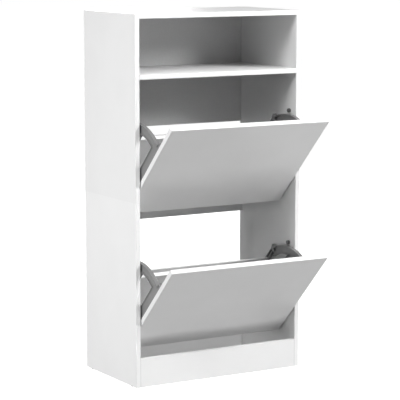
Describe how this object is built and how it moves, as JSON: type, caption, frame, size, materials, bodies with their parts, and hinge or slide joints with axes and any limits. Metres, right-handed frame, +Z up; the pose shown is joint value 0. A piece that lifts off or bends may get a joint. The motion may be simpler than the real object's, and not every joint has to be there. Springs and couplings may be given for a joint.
{
  "type": "shoe cabinet",
  "caption": "Tall narrow shoe cabinet with an open top space and two tip-out flaps, each with a front and a rear shoe tier between plastic flip frames.",
  "frame": {"origin": "on the floor, under the middle of the whole object with both flaps at rest, 45 degrees open", "axes": "+Z up, +Y from the front of the cabinet to its back, +X to the right as seen from the front"},
  "size_m": [0.6, 0.5332, 1.16],
  "materials": {
    "white_laminate": "glossy white melamine on chipboard",
    "white_hardboard": "satin white lacquered hardboard",
    "grey_plastic": "fine moulded texture",
    "dark_plastic": "smooth moulded",
    "zinc_steel": "zinc plated",
    "beech": "plain fluted beech"
  },
  "bodies": {
    "cabinet": {"left_side_upper": "white_laminate", "left_side_lower": "white_laminate", "right_side_upper": "white_laminate", "right_side_lower": "white_laminate", "top_panel": "white_laminate", "shelf_panel": "white_laminate", "plinth_panel": "white_laminate", "upper_back_panel": "white_hardboard", "middle_back_rail": "white_laminate", "lower_back_rail": "white_laminate", "upper_left_pivot_pin": "dark_plastic", "upper_right_pivot_pin": "dark_plastic", "lower_left_pivot_pin": "dark_plastic", "lower_right_pivot_pin": "dark_plastic", "upper_left_stop_peg": "dark_plastic", "upper_right_stop_peg": "dark_plastic", "lower_left_stop_peg": "dark_plastic", "lower_right_stop_peg": "dark_plastic", "cam_locks": "zinc_steel", "cam_bolts": "zinc_steel", "wood_dowels": "beech", "back_panel_nails": "zinc_steel", "base_glides": "dark_plastic"},
    "upper_flap": {"upper_flap_front": "white_laminate", "upper_left_flip_frame": "grey_plastic", "upper_right_flip_frame": "grey_plastic", "upper_front_tier_floor": "white_laminate", "upper_divider_board": "white_laminate", "upper_rear_tier_floor": "white_laminate", "upper_rear_board": "white_hardboard", "upper_frame_screws": "zinc_steel", "upper_tier_screws": "zinc_steel"},
    "lower_flap": {"lower_flap_front": "white_laminate", "lower_left_flip_frame": "grey_plastic", "lower_right_flip_frame": "grey_plastic", "lower_front_tier_floor": "white_laminate", "lower_divider_board": "white_laminate", "lower_rear_tier_floor": "white_laminate", "lower_rear_board": "white_hardboard", "lower_frame_screws": "zinc_steel", "lower_tier_screws": "zinc_steel"}
  },
  "joints": [
    {"name": "upper_flap_tilt", "type": "hinge", "parent": "cabinet", "child": "upper_flap", "pos_m": [0, -0.03745, 0.642], "axis": [1, 0, 0], "range_deg": [-45, 21]},
    {"name": "lower_flap_tilt", "type": "hinge", "parent": "cabinet", "child": "lower_flap", "pos_m": [0, -0.03745, 0.212], "axis": [1, 0, 0], "range_deg": [-45, 21]}
  ]
}
